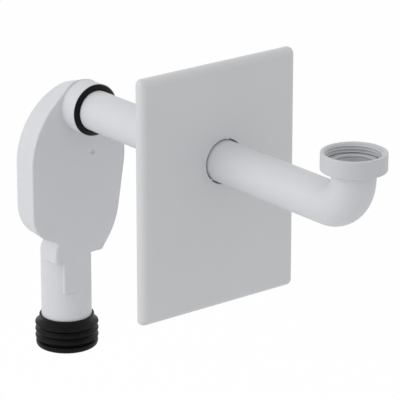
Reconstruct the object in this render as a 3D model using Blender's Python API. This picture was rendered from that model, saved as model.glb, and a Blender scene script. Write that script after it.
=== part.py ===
"""Concealed washbasin trap for a wall niche, in metres, +Z up.

The origin is on the outlet's axis, at the bottom of its rubber connector.
+Y points into the wall and +X to the right, seen from the room.
"""

import math

import bmesh
import bpy
from mathutils import Matrix, Vector

# Fits
GAP = 0.0003                  # between pieces that touch or seat in each other
PLATE_CLEARANCE = 0.0013      # round the pipe, in the cover plate's hole

# Inlet pipe and its bend
PIPE_R = 0.016
PIPE_WALL = 0.0018
BEND_RADIUS = 0.0255          # of the bend's centre line
PIPE_AXIS_X = 0.0045          # from the outlet's axis
PIPE_AXIS_Z = 0.206           # above the connector's bottom
PIPE_END_DEPTH = 0.0015       # the pipe's end, behind the drum's front face
FLANGE_R = 0.0186
FLANGE_T = 0.0016

# Union nut and its washer
NUT_R = 0.02385
NUT_HEIGHT = 0.0129
NUT_FLOOR = 0.0020
NUT_BORE_R = 0.0200           # at the middle of the thread
NUT_BASE_RISE = 0.0314        # the nut's lower face, above the pipe's axis
NUT_ROUNDING = 0.0012
WASHER_R = 0.0184
WASHER_T = 0.0016

# Cover plate
PLATE_WIDTH = 0.144
PLATE_HEIGHT = 0.1885
PLATE_DEPTH = 0.008
PLATE_WALL = 0.0022
PLATE_CORNER_R = 0.0039       # of its outer side
PLATE_FACE_CORNER_R = 0.0024  # where the edge's rounding meets the flat face
PLATE_EDGE_R = 0.0055
PLATE_SHIFT_X = -0.0039       # the plate's middle, from the pipe's axis
PLATE_SHIFT_Z = -0.0194
PLATE_REACH = 0.1767          # its face, in front of the drum's face
WASTE_REACH = 0.14315         # the nut's axis, in front of the plate's face
COLLAR_WALL = 0.0018
COLLAR_DEPTH = 0.0052
COLLAR_LIP_DEPTH = 0.0015     # the collar's end, which runs on the pipe
RIB_T = 0.0016
RIB_DEPTH = 0.0040

# Drum of the trap
DRUM_FACE_Y = -0.0205
DRUM_DEPTH = 0.022
DRUM_WALL = 0.0022
DRUM_HALF_WIDTH = 0.0450
DRUM_BACK_HALF_WIDTH = 0.0448
DRUM_ARCH_R = 0.0669          # the two tall arcs of the arch, at the drum's face
DRUM_ARCH_BACK_R = 0.0599     # the same at its back
DRUM_ARCH_RISE = 0.0224       # their tops, above the pipe's axis
DRUM_ARCH_BACK_RISE = 0.0160
DRUM_EDGE_R = 0.0012
BOSS_R = 0.0214               # the drum's round top about the socket
BOSS_SHOULDER_R = 0.0126      # the shoulder on the left of the boss
BOSS_SHOULDER_SHIFT = 0.0052
BOSS_SHOULDER_LEFT = 0.06     # share of the shoulder that is left at the back
BOSS_FALL = 0.007             # how far the drum's top falls towards the back
LOWER_LEFT_R = 0.0237
LOWER_LEFT_BACK_R = 0.0320
LOWER_LEFT_Z = 0.12225
LOWER_LEFT_BACK_Z = 0.1287
LOWER_RIGHT_R = 0.060
LOWER_RIGHT_Z = 0.1259
LOWER_RIGHT_EDGE_X = 0.0393   # where its arc would reach furthest right
FOOT_INNER_R = 0.0004         # corners of the drum's flat foot, inside
FOOT_Z = 0.0819
FOOT_LEFT_X = 0.0095
FOOT_RIGHT_X = 0.0201
BACK_COVER_Z = 0.096          # lower edge of the opening in the drum's back
BACK_LEDGE = 0.0009           # the cover sits on it, all round the opening

# Inlet socket and its seal
SOCKET_R = 0.0208
SOCKET_BORE_R = 0.0182
SOCKET_LENGTH = 0.0142
SOCKET_STOP_T = 0.0020        # the shoulder at the bottom of the socket
SEAL_FLANGE_R = 0.0203
SEAL_FLANGE_T = 0.0016        # at its outer edge
SEAL_NOSE = 0.0023            # its inner edge stands out in front by this
SEAL_LENGTH = 0.0095          # of the sleeve inside the socket
SEAL_LIP_T = 0.0016

# Outlet spigot, with its neck and tongue
SPIGOT_R = 0.0203
SPIGOT_WALL = 0.0021
SPIGOT_SHOULDER_Z = 0.082
SPIGOT_SHOULDER_R = 0.0115
NECK_TOP_LEFT_X = -0.0215
NECK_LEFT_X = -0.0255         # below the knee in its left side
NECK_KNEE_Z = 0.0896
NECK_RIGHT_X = 0.010
NECK_FOOT_Z = 0.079
TONGUE_LEFT_X = -0.0175
TONGUE_FOOT_Z = 0.0515
TONGUE_EDGE_R = 0.0010
NECK_TOP_Z = 0.104            # both forms end inside the drum

# Water seal inside the drum
DIP_WALL_T = 0.0018
DIP_WALL_DEPTH = 0.0102       # its front, behind the drum's face
DIP_EDGE_Z = 0.112
WATER_SEAL = 0.050            # from the dip wall's edge up to the weir
CHANNEL_WALL_T = 0.0018
CHANNEL_ROOT_RISE = 0.004     # where its walls grow from the cover, above the cover's lower edge

# Rubber connector on the outlet
CONNECTOR_HEIGHT = 0.0267
CONNECTOR_COLLAR_R = 0.0221
CONNECTOR_COLLAR_HEIGHT = 0.0051
CONNECTOR_RIB_R = 0.0256
CONNECTOR_VALLEY_R = 0.0241
CONNECTOR_BAND_R = 0.0251
CONNECTOR_BAND_HEIGHT = 0.0062
CONNECTOR_GROOVE_R = 0.0224
CONNECTOR_LIP = 0.0035        # thickness of the stop under the spigot
CONNECTOR_LIP_R = 0.0182
CONNECTOR_RIBS = 3

# Gate mark on the drum's face
GATE_X = 0.0132
GATE_Z = 0.1652
GATE_R = 0.0016
GATE_DEPTH = 0.0006

# Smoothness
ROUND_STEPS = 48
ARC_STEPS = 8
RING_SPACING = 0.0042         # between the drum's outlines
BEND_STEPS = 14
EDGE_STEPS = 3
CORNER_STEPS = 4

# Places that follow from the sizes above
DRUM_BACK_Y = DRUM_FACE_Y + DRUM_DEPTH
BACK_INSET = DRUM_WALL - BACK_LEDGE
FOOT_R = DRUM_WALL + FOOT_INNER_R
PLATE_FACE_Y = DRUM_FACE_Y - PLATE_REACH
WASTE_AXIS_Y = PLATE_FACE_Y - WASTE_REACH
PIPE_END_Y = DRUM_FACE_Y + PIPE_END_DEPTH
PIPE_BORE_R = PIPE_R - PIPE_WALL
NUT_BASE_Z = PIPE_AXIS_Z + NUT_BASE_RISE
NUT_TOP_Z = NUT_BASE_Z + NUT_HEIGHT
FLANGE_Z = NUT_BASE_Z + NUT_FLOOR + GAP
WASHER_Z = FLANGE_Z + FLANGE_T + GAP
SPIGOT_BORE_R = SPIGOT_R - SPIGOT_WALL
SPIGOT_END_Z = CONNECTOR_LIP + GAP
SOCKET_RIM_Y = DRUM_FACE_Y - SOCKET_LENGTH
DIP_FRONT_Y = DRUM_FACE_Y + DIP_WALL_DEPTH
DIP_BACK_Y = DIP_FRONT_Y + DIP_WALL_T
WEIR_Z = DIP_EDGE_Z + WATER_SEAL
DRUM_FLOOR_Z = FOOT_Z + DRUM_WALL

X = Vector((1, 0, 0))
Y = Vector((0, 1, 0))
Z = Vector((0, 0, 1))


def clear_scene():
    """Start from an empty scene."""
    for item in list(bpy.data.objects):
        bpy.data.objects.remove(item, do_unlink=True)


def plastic(name, colour, roughness):
    """A plain moulded material."""
    material = bpy.data.materials.new(name)
    material.use_nodes = True
    shader = material.node_tree.nodes["Principled BSDF"]
    shader.inputs["Base Color"].default_value = (*colour, 1)
    shader.inputs["Roughness"].default_value = roughness
    shader.inputs["Metallic"].default_value = 0
    return material


def circle(centre, side, up, radius, steps=ROUND_STEPS):
    """Points round a circle in the plane of two unit vectors."""
    turns = [2 * math.pi * index / steps for index in range(steps)]
    return [centre + radius * (math.cos(a) * side + math.sin(a) * up) for a in turns]


def quarter(radius, steps=EDGE_STEPS):
    """Inset and depth of the points round a quarter circle, from face to side."""
    angles = [math.pi / 2 * index / steps for index in range(steps + 1)]
    return [(radius * (1 - math.sin(a)), radius * (1 - math.cos(a))) for a in angles]


def skin(name, rings, material, closed=False):
    """A solid through rings of points; its ends are capped, or meet if closed."""
    shape = bmesh.new()
    loops = [[shape.verts.new(point) for point in ring] for ring in rings]
    pairs = list(zip(loops, loops[1:]))
    if closed:
        pairs.append((loops[-1], loops[0]))
    else:
        shape.faces.new(loops[0])
        shape.faces.new(loops[-1])
    for first, second in pairs:
        count = len(first)
        for index in range(count):
            after = (index + 1) % count
            shape.faces.new((first[index], first[after], second[after], second[index]))
    bmesh.ops.remove_doubles(shape, verts=shape.verts, dist=1e-7)
    bmesh.ops.recalc_face_normals(shape, faces=shape.faces)
    mesh = bpy.data.meshes.new(name)
    shape.to_mesh(mesh)
    shape.free()
    mesh.shade_smooth()
    mesh.set_sharp_from_angle(angle=math.radians(35))
    mesh.materials.append(material)
    item = bpy.data.objects.new(name, mesh)
    bpy.context.scene.collection.objects.link(item)
    return item


def turned(name, profile, centre, axis, material, closed=True):
    """A turned solid; the profile is radius and height along the axis."""
    side = X if abs(axis.dot(X)) < 0.5 else Y
    up = axis.cross(side)
    rings = [circle(centre + height * axis, side, up, radius) for radius, height in profile]
    return skin(name, rings, material, closed)


def block(name, low, high, material):
    """A rectangular block between two corners."""
    outline = [(low[0], low[1]), (high[0], low[1]), (high[0], high[1]), (low[0], high[1])]
    rings = [[Vector((x, y, z)) for x, y in outline] for z in (low[2], high[2])]
    return skin(name, rings, material)


def trim(item, point, normal):
    """Cut an object off at a plane, keep the side the normal points to, and close it."""
    shape = bmesh.new()
    shape.from_mesh(item.data)
    everything = shape.verts[:] + shape.edges[:] + shape.faces[:]
    cut = bmesh.ops.bisect_plane(
        shape, geom=everything, plane_co=point, plane_no=normal, clear_inner=True, dist=1e-7)
    edges = [element for element in cut["geom_cut"] if isinstance(element, bmesh.types.BMEdge)]
    bmesh.ops.contextual_create(shape, geom=edges)
    bmesh.ops.recalc_face_normals(shape, faces=shape.faces)
    shape.to_mesh(item.data)
    shape.free()
    return item


def keep_between(item, axis, low, high):
    """Keep what lies between two places along an axis."""
    trim(item, low * axis, axis)
    return trim(item, high * axis, -axis)


def round_edges(item, width, steps=2):
    """Round the sharp edges of a plain block."""
    bevel = item.modifiers.new("rounding", "BEVEL")
    bevel.width = width
    bevel.segments = steps
    bevel.limit_method = "ANGLE"


def combine(item, other, operation):
    """Join a helper shape to an object, or cut it away."""
    other.hide_render = True
    other.display_type = "WIRE"
    boolean = item.modifiers.new(other.name, "BOOLEAN")
    boolean.operation = operation
    boolean.solver = "EXACT"
    boolean.object = other


def join(item, *others):
    for other in others:
        combine(item, other, "UNION")


def cut(item, *others):
    for other in others:
        combine(item, other, "DIFFERENCE")


def pivot(item, point):
    """Move an object's origin to a point on its joint's axis."""
    item.data.transform(Matrix.Translation(-point))
    item.location = point


def attach(child, parent):
    """Parent an object where it stands."""
    child.parent = parent
    child.location = child.location - world_place(parent)


def world_place(item):
    """Where an unturned object's origin lies, with its parents' places added."""
    place = item.location.copy()
    while item.parent:
        item = item.parent
        place += item.location
    return place


def tangent_angle(first, second):
    """Direction at which a band going clockwise leaves one circle for the next."""
    across = second[0] - first[0]
    upward = second[1] - first[1]
    share = (first[2] - second[2]) / math.hypot(across, upward)
    return math.atan2(upward, across) + math.acos(max(-1.0, min(1.0, share)))


def drum_outline(y, inset):
    """The drum's outline at a depth, drawn in by an inset.

    It is a tight band round eight circles, clockwise from the lower left. The
    arch gets rounder towards the back, where the boss sits lower and its
    shoulder fades into it.
    """
    depth = (y - DRUM_FACE_Y) / DRUM_DEPTH

    def at_depth(front, back):
        return front + (back - front) * depth

    half_width = at_depth(DRUM_HALF_WIDTH, DRUM_BACK_HALF_WIDTH)
    arch_r = at_depth(DRUM_ARCH_R, DRUM_ARCH_BACK_R)
    arch_x = arch_r - half_width
    arch_z = PIPE_AXIS_Z + at_depth(DRUM_ARCH_RISE, DRUM_ARCH_BACK_RISE) - arch_r
    corner_r = at_depth(LOWER_LEFT_R, LOWER_LEFT_BACK_R)
    corner_z = at_depth(LOWER_LEFT_Z, LOWER_LEFT_BACK_Z)
    boss_z = PIPE_AXIS_Z - BOSS_FALL * depth
    left_share = at_depth(1, BOSS_SHOULDER_LEFT)
    shoulder_x = PIPE_AXIS_X - BOSS_SHOULDER_SHIFT * left_share
    shrink = (BOSS_R - BOSS_SHOULDER_R) * left_share
    circles = [
        (corner_r - half_width, corner_z, corner_r),
        (arch_x, arch_z, arch_r),
        (shoulder_x, boss_z + shrink, BOSS_R - shrink),
        (PIPE_AXIS_X, boss_z, BOSS_R),
        (-arch_x, arch_z, arch_r),
        (LOWER_RIGHT_EDGE_X - LOWER_RIGHT_R, LOWER_RIGHT_Z, LOWER_RIGHT_R),
        (FOOT_RIGHT_X, FOOT_Z + FOOT_R, FOOT_R),
        (FOOT_LEFT_X, FOOT_Z + FOOT_R, FOOT_R),
    ]
    following = circles[1:] + circles[:1]
    exits = [tangent_angle(first, second) for first, second in zip(circles, following)]
    points = []
    for index, (x, z, radius) in enumerate(circles):
        entry = exits[index - 1]
        sweep = (entry - exits[index]) % (2 * math.pi)
        if sweep > math.pi:
            sweep = 0
        for step in range(ARC_STEPS):
            angle = entry - sweep * step / (ARC_STEPS - 1)
            reach = radius - inset
            points.append(Vector((x + reach * math.cos(angle), y, z + reach * math.sin(angle))))
    return points


def drum_rings(front, back, inset):
    """The drum's outline at even steps between two depths."""
    count = max(1, round((back - front) / RING_SPACING))
    return [drum_outline(front + (back - front) * i / count, inset) for i in range(count + 1)]


def drum_slab(name, front, back, inset, material):
    """A slab of the drum's outline between two depths."""
    return skin(name, drum_rings(front, back, inset), material)


def shoulder(radius, rounding, height):
    """Profile points of a rounded shoulder at the top of a round shape."""
    points = []
    for index in range(2 * EDGE_STEPS + 1):
        angle = math.pi / 2 * index / (2 * EDGE_STEPS)
        reach = radius - rounding + rounding * math.cos(angle)
        points.append((reach, height + rounding * math.sin(angle)))
    return points


def make_drum(material):
    """Drum with socket, neck, tongue and outlet spigot, all one moulding."""
    rounding = quarter(DRUM_EDGE_R)[:-1]
    rings = [drum_outline(DRUM_FACE_Y + depth, inset) for inset, depth in rounding]
    rings += drum_rings(DRUM_FACE_Y + DRUM_EDGE_R, DRUM_BACK_Y, 0)
    housing = skin("trap_housing", rings, material)

    pipe_axis = Vector((PIPE_AXIS_X, 0, PIPE_AXIS_Z))
    inside = DRUM_FACE_Y + DRUM_WALL / 2
    socket = turned(
        "socket_form", [(SOCKET_R, SOCKET_RIM_Y), (SOCKET_R, inside)], pipe_axis, Y, material, False)
    spigot_profile = [(SPIGOT_R, SPIGOT_END_Z)]
    spigot_profile += shoulder(SPIGOT_R, SPIGOT_SHOULDER_R, SPIGOT_SHOULDER_Z)
    spigot = turned("spigot_form", spigot_profile, Vector(), Z, material, False)
    neck_outline = [
        (NECK_LEFT_X, NECK_FOOT_Z),
        (NECK_RIGHT_X, NECK_FOOT_Z),
        (NECK_RIGHT_X, NECK_TOP_Z),
        (NECK_TOP_LEFT_X, NECK_TOP_Z),
        (NECK_LEFT_X, NECK_KNEE_Z),
    ]
    neck = skin(
        "neck_form", [[Vector((x, y, z)) for x, z in neck_outline] for y in (DRUM_FACE_Y, DRUM_BACK_Y)],
        material)
    tongue = block(
        "tongue_form", (TONGUE_LEFT_X, DRUM_FACE_Y, TONGUE_FOOT_Z),
        (NECK_RIGHT_X, DRUM_FACE_Y + SPIGOT_R / 2, NECK_TOP_Z), material)
    for form in (neck, tongue):
        round_edges(form, TONGUE_EDGE_R)
    join(housing, spigot, neck, tongue, socket)

    cut_drum_inside(housing, pipe_axis, material)
    cut_outlet(housing, material)
    gate = turned(
        "gate_mark", [(GATE_R, -GATE_R), (GATE_R, 0), (GATE_R / 2, GATE_DEPTH)],
        Vector((GATE_X, DRUM_FACE_Y, GATE_Z)), Y, material, False)
    cut(housing, gate)
    return housing


def cut_drum_inside(housing, pipe_axis, material):
    """The drum's cavity, its open back and the bore of its socket."""
    cavity = drum_slab(
        "cavity", DRUM_FACE_Y + DRUM_WALL, DRUM_BACK_Y - DRUM_WALL, DRUM_WALL, material)
    back = drum_slab(
        "back_opening", DRUM_BACK_Y - DRUM_WALL - GAP, DRUM_BACK_Y + GAP, BACK_INSET, material)
    trim(back, BACK_COVER_Z * Z, Z)
    stop = DRUM_FACE_Y - SOCKET_STOP_T
    socket_bore = turned(
        "socket_bore", [(SOCKET_BORE_R, SOCKET_RIM_Y - DRUM_WALL), (SOCKET_BORE_R, stop)],
        pipe_axis, Y, material, False)
    pipe_hole = turned(
        "pipe_hole", [(PIPE_R + 3 * GAP, stop - GAP), (PIPE_R + 3 * GAP, DRUM_FACE_Y + 1.5 * DRUM_WALL)],
        pipe_axis, Y, material, False)
    cut(housing, cavity, back, socket_bore, pipe_hole)


def cut_outlet(housing, material):
    """The outlet's bore, the space behind the tongue and the channel up to the drum."""
    floor = DRUM_FLOOR_Z - DRUM_WALL + GAP
    rounding = SPIGOT_SHOULDER_R - SPIGOT_WALL
    below = SPIGOT_END_Z - SPIGOT_WALL
    front_bore = [(SPIGOT_BORE_R, below)] + shoulder(SPIGOT_BORE_R, rounding, floor - rounding)
    rear_bore = [(SPIGOT_BORE_R - GAP, floor - rounding)]
    rear_bore += shoulder(SPIGOT_BORE_R - GAP, rounding, SPIGOT_SHOULDER_Z)
    front = turned("front_bore", front_bore, Vector(), Z, material, False)
    rear = turned("rear_bore", rear_bore, Vector(), Z, material, False)
    trim(rear, DIP_BACK_Y * Y, Y)
    behind_tongue = block(
        "tongue_hollow",
        (TONGUE_LEFT_X + SPIGOT_WALL, DRUM_FACE_Y + SPIGOT_WALL, TONGUE_FOOT_Z + SPIGOT_WALL),
        (NECK_RIGHT_X - SPIGOT_WALL, DIP_BACK_Y, floor - rounding / 2), material)
    half = SPIGOT_BORE_R - 2 * GAP
    channel = block(
        "channel_way", (-half, DIP_BACK_Y - GAP, DRUM_FLOOR_Z - DRUM_WALL / 2),
        (half, DRUM_BACK_Y - DRUM_WALL - GAP, NECK_TOP_Z), material)
    cut(housing, channel, front, rear, behind_tongue)


def make_back_cover(material):
    """The cover in the drum's back, with the two walls of the overflow channel."""
    inner_face = DRUM_BACK_Y - DRUM_WALL
    cover = drum_slab("trap_back_cover", inner_face, DRUM_BACK_Y, BACK_INSET + GAP, material)
    edge = BACK_COVER_Z + GAP
    trim(cover, edge * Z, Z)
    for label, near in (("left", -SPIGOT_BORE_R - CHANNEL_WALL_T), ("right", SPIGOT_BORE_R)):
        far = near + CHANNEL_WALL_T
        wall = drum_slab(
            label + "_channel_wall", DIP_BACK_Y + GAP, inner_face - GAP, DRUM_WALL + GAP, material)
        keep_between(wall, X, near, far)
        trim(wall, WEIR_Z * Z, -Z)
        root = block(
            label + "_channel_root", (near + GAP / 2, inner_face - 2 * GAP, edge + CHANNEL_ROOT_RISE),
            (far - GAP / 2, DRUM_BACK_Y - DRUM_WALL / 2, WEIR_Z - GAP), material)
        join(cover, wall, root)
    return cover


def make_dip_wall(material):
    """The partition whose lower edge dips into the water, with the channel's front below."""
    wall = drum_slab("dip_wall", DIP_FRONT_Y, DIP_BACK_Y, DRUM_WALL + GAP, material)
    trim(wall, DIP_EDGE_Z * Z, Z)
    channel_front = drum_slab(
        "channel_front", DIP_FRONT_Y + GAP / 2, DIP_BACK_Y - GAP / 2, DRUM_WALL + GAP, material)
    half = SPIGOT_BORE_R + CHANNEL_WALL_T
    keep_between(channel_front, X, -half, half)
    trim(channel_front, (DIP_EDGE_Z + 2 * DIP_WALL_T) * Z, -Z)
    join(wall, channel_front)
    return wall


def make_lip_seal(material):
    """Rubber seal: a bulging flange on the socket's rim and a sleeve with two lips inside."""
    outer = SOCKET_BORE_R - GAP
    lip = PIPE_R + GAP
    rim = SOCKET_RIM_Y - GAP
    edge = rim - SEAL_FLANGE_T
    nose = edge - SEAL_NOSE
    end = rim + SEAL_LENGTH
    relief = (outer + lip) / 2
    profile = [
        (SEAL_FLANGE_R, edge + SEAL_FLANGE_T / 4),
        (SEAL_FLANGE_R, rim),
        (outer, rim),
        (outer, end),
        (lip, end),
        (lip, end - SEAL_LIP_T),
        (relief, end - 2 * SEAL_LIP_T),
        (relief, rim + SEAL_LIP_T),
        (lip, rim),
        (lip, nose + SEAL_FLANGE_T / 4),
        (lip + SEAL_FLANGE_T / 4, nose),
        ((lip + SEAL_FLANGE_R) / 2, nose + SEAL_NOSE / 3),
        (SEAL_FLANGE_R - SEAL_FLANGE_T / 4, edge),
    ]
    place = Vector((PIPE_AXIS_X, 0, PIPE_AXIS_Z))
    seal = turned("inlet_lip_seal", profile, place, Y, material)
    pivot(seal, Vector((PIPE_AXIS_X, rim, PIPE_AXIS_Z)))
    return seal


def bend_ring(angle, radius):
    """A ring of the bend, at an angle from the level pipe to the upright leg."""
    centre_y = WASTE_AXIS_Y + BEND_RADIUS * (1 - math.sin(angle))
    centre_z = PIPE_AXIS_Z + BEND_RADIUS * (1 - math.cos(angle))
    outward = math.sin(angle) * Y + math.cos(angle) * Z
    return circle(Vector((PIPE_AXIS_X, centre_y, centre_z)), X, outward, radius)


def make_bend(material):
    """Level pipe, bend, upright leg and flange, hollow all the way."""
    angles = [math.pi / 2 * index / BEND_STEPS for index in range(BEND_STEPS + 1)]
    start = Vector((PIPE_AXIS_X, PIPE_END_Y, PIPE_AXIS_Z))
    chamfer = PIPE_WALL / 2
    flange_top = FLANGE_Z + FLANGE_T

    def level_ring(depth, radius):
        return circle(start - depth * Y, X, Z, radius)

    def upright_ring(height, radius):
        return circle(Vector((PIPE_AXIS_X, WASTE_AXIS_Y, height)), X, Y, radius)

    rings = [level_ring(0, PIPE_R - chamfer), level_ring(chamfer, PIPE_R)]
    rings += [bend_ring(angle, PIPE_R) for angle in angles]
    rings += [
        upright_ring(FLANGE_Z - FLANGE_T, PIPE_R),
        upright_ring(FLANGE_Z, PIPE_R + GAP / 2),
        upright_ring(FLANGE_Z, FLANGE_R),
        upright_ring(flange_top, FLANGE_R),
        upright_ring(flange_top, PIPE_BORE_R),
    ]
    rings += [bend_ring(angle, PIPE_BORE_R) for angle in reversed(angles)]
    rings.append(level_ring(0, PIPE_BORE_R))
    bend = skin("connecting_bend", rings, material, closed=True)
    pivot(bend, Vector((PIPE_AXIS_X, WASTE_AXIS_Y, PIPE_AXIS_Z)))
    return bend


def make_washer(material):
    """Flat ring on the flange, under the basin's waste."""
    inner = PIPE_BORE_R + GAP
    top = WASHER_Z + WASHER_T
    profile = [(WASHER_R, WASHER_Z), (WASHER_R, top), (inner, top), (inner, WASHER_Z)]
    return turned(
        "sealing_washer", profile[::-1], Vector((PIPE_AXIS_X, WASTE_AXIS_Y, 0)), Z, material)


def make_nut(material):
    """Smooth round nut with a floor that pulls on the flange."""
    hole = PIPE_R + GAP
    shelf = NUT_BASE_Z + NUT_FLOOR
    relief = NUT_ROUNDING / 2
    profile = [
        (NUT_R - NUT_ROUNDING, NUT_BASE_Z),
        (NUT_R - NUT_ROUNDING / 3, NUT_BASE_Z + NUT_ROUNDING / 3),
        (NUT_R, NUT_BASE_Z + NUT_ROUNDING),
        (NUT_R, NUT_TOP_Z - NUT_ROUNDING),
        (NUT_R - NUT_ROUNDING / 3, NUT_TOP_Z - NUT_ROUNDING / 3),
        (NUT_R - NUT_ROUNDING, NUT_TOP_Z),
        (NUT_BORE_R + relief, NUT_TOP_Z),
        (NUT_BORE_R, NUT_TOP_Z - relief),
        (NUT_BORE_R, shelf),
        (hole, shelf),
        (hole, NUT_BASE_Z),
    ]
    place = Vector((PIPE_AXIS_X, WASTE_AXIS_Y, 0))
    nut = turned("union_nut", profile, place, Z, material)
    pivot(nut, place + NUT_BASE_Z * Z)
    return nut


def plate_outline(y, inset):
    """The cover plate's rounded rectangle at a depth, drawn in by an inset."""
    centre_x = PIPE_AXIS_X + PLATE_SHIFT_X
    centre_z = PIPE_AXIS_Z + PLATE_SHIFT_Z
    tighter = (PLATE_CORNER_R - PLATE_FACE_CORNER_R) * inset / PLATE_EDGE_R
    radius = max(PLATE_CORNER_R - tighter, GAP)
    half_width = PLATE_WIDTH / 2 - inset - radius
    half_height = PLATE_HEIGHT / 2 - inset - radius
    points = []
    for turn, (side, up) in enumerate(((1, 1), (-1, 1), (-1, -1), (1, -1))):
        for index in range(CORNER_STEPS + 1):
            angle = math.pi / 2 * (turn + index / CORNER_STEPS)
            x = centre_x + side * half_width + radius * math.cos(angle)
            z = centre_z + up * half_height + radius * math.sin(angle)
            points.append(Vector((x, y, z)))
    return points


def make_plate(material):
    """Thin cover plate: face, rim, collar round the pipe and cross ribs behind."""
    back = PLATE_FACE_Y + PLATE_DEPTH
    rings = [plate_outline(PLATE_FACE_Y + depth, inset) for inset, depth in quarter(PLATE_EDGE_R)]
    rings.append(plate_outline(back, 0))
    rings.append(plate_outline(back, PLATE_WALL))
    inner_face = PLATE_FACE_Y + PLATE_WALL
    rings += [
        plate_outline(inner_face + depth, PLATE_WALL + inset)
        for inset, depth in reversed(quarter(PLATE_EDGE_R - PLATE_WALL))]
    plate = skin("cover_plate", rings, material)

    axis = Vector((PIPE_AXIS_X, 0, PIPE_AXIS_Z))
    hole_r = PIPE_R + PLATE_CLEARANCE
    inside = PLATE_FACE_Y + PLATE_WALL / 2
    collar_r = hole_r + COLLAR_WALL
    collar = turned(
        "collar_form", [(collar_r, inside), (collar_r, inner_face + COLLAR_DEPTH)],
        axis, Y, material, False)
    rib_root = inner_face - GAP
    rib_back = inner_face + RIB_DEPTH
    rib_inset = PLATE_WALL - GAP
    left = PIPE_AXIS_X + PLATE_SHIFT_X - PLATE_WIDTH / 2 + rib_inset
    bottom = PIPE_AXIS_Z + PLATE_SHIFT_Z - PLATE_HEIGHT / 2 + rib_inset
    level_rib = block(
        "level_rib_form", (left, rib_root, PIPE_AXIS_Z - RIB_T / 2),
        (left + PLATE_WIDTH - 2 * rib_inset, rib_back, PIPE_AXIS_Z + RIB_T / 2), material)
    upright_rib = block(
        "upright_rib_form", (PIPE_AXIS_X - RIB_T / 2, rib_root, bottom),
        (PIPE_AXIS_X + RIB_T / 2, rib_back + GAP, bottom + PLATE_HEIGHT - 2 * rib_inset), material)
    join(plate, collar, level_rib, upright_rib)
    lip_y = inner_face + COLLAR_DEPTH - COLLAR_LIP_DEPTH
    lip_r = PIPE_R + GAP
    hole_profile = [
        (hole_r, PLATE_FACE_Y - PLATE_WALL),
        (hole_r, lip_y - PLATE_CLEARANCE),
        (lip_r, lip_y),
        (lip_r, back),
    ]
    hole = turned("plate_hole", hole_profile, axis, Y, material, False)
    cut(plate, hole)
    pivot(plate, Vector((PIPE_AXIS_X, PLATE_FACE_Y, PIPE_AXIS_Z)))
    return plate


def connector_profile():
    """Outer side of the rubber connector from its foot up, then its bore down."""
    rounding = CONNECTOR_BAND_HEIGHT / 2
    collar_foot = CONNECTOR_HEIGHT - CONNECTOR_COLLAR_HEIGHT
    pitch = (collar_foot - CONNECTOR_BAND_HEIGHT) / CONNECTOR_RIBS
    profile = [
        (CONNECTOR_BAND_R - rounding, 0),
        (CONNECTOR_BAND_R - rounding / 4, rounding / 3),
        (CONNECTOR_BAND_R, rounding),
        (CONNECTOR_BAND_R - rounding / 4, CONNECTOR_BAND_HEIGHT - rounding / 2),
        (CONNECTOR_GROOVE_R, CONNECTOR_BAND_HEIGHT),
    ]
    for index in range(CONNECTOR_RIBS):
        foot = CONNECTOR_BAND_HEIGHT + index * pitch
        profile.append((CONNECTOR_RIB_R, foot + 0.42 * pitch))
        profile.append((CONNECTOR_RIB_R, foot + 0.62 * pitch))
        if index < CONNECTOR_RIBS - 1:
            profile.append((CONNECTOR_VALLEY_R, foot + pitch))
    bore = SPIGOT_R + GAP
    profile += [
        (CONNECTOR_COLLAR_R, collar_foot + 0.15 * pitch),
        (CONNECTOR_COLLAR_R, CONNECTOR_HEIGHT - GAP),
        (CONNECTOR_COLLAR_R - 2 * GAP, CONNECTOR_HEIGHT),
        (bore, CONNECTOR_HEIGHT),
        (bore, CONNECTOR_LIP),
        (CONNECTOR_LIP_R, CONNECTOR_LIP),
        (CONNECTOR_LIP_R, 0),
    ]
    return profile


def make_connector(material):
    """Ribbed rubber connector that plugs the outlet into the drain."""
    return turned("outlet_connector", connector_profile(), Vector(), Z, material)


def build():
    """Make every piece and hang the moving ones on their joints' axes."""
    clear_scene()
    white = plastic("white_moulded_plastic", (0.60, 0.61, 0.62), 0.42)
    plate_white = plastic("cover_plate_plastic", (0.60, 0.61, 0.62), 0.38)
    rubber = plastic("black_rubber", (0.012, 0.012, 0.013), 0.55)
    washer_grey = plastic("pale_washer", (0.50, 0.51, 0.52), 0.6)

    housing = make_drum(white)
    cover = make_back_cover(white)
    dip = make_dip_wall(white)
    connector = make_connector(rubber)
    seal = make_lip_seal(rubber)
    bend = make_bend(white)
    washer = make_washer(washer_grey)
    nut = make_nut(white)
    plate = make_plate(plate_white)

    for piece in (cover, dip, connector, seal, plate):
        attach(piece, housing)
    attach(bend, seal)
    attach(washer, bend)
    attach(nut, bend)


build()
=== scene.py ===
import math

import bmesh
import bpy
from mathutils import Matrix, Vector


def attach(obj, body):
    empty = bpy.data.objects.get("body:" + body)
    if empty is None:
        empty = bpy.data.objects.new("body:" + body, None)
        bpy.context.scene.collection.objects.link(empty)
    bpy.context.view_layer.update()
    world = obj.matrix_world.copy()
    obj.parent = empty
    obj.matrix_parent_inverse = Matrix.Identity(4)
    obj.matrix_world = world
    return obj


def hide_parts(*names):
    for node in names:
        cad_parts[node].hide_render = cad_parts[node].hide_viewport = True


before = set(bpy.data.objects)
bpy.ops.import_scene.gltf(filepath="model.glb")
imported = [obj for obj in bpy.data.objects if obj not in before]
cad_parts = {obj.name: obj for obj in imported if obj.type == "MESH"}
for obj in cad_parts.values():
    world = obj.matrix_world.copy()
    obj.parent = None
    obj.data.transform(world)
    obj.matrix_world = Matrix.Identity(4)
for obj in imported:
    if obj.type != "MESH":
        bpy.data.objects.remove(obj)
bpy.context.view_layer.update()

# Lengths are in millimetres, from the bottom of the outlet's rubber: X to the
# right seen from the room, Y into the wall and Z up
MM = 0.001
GAP = 0.3                     # between pieces that touch or seat in each other
SOFT = 0.3                    # the usual softening of a moulded edge

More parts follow.
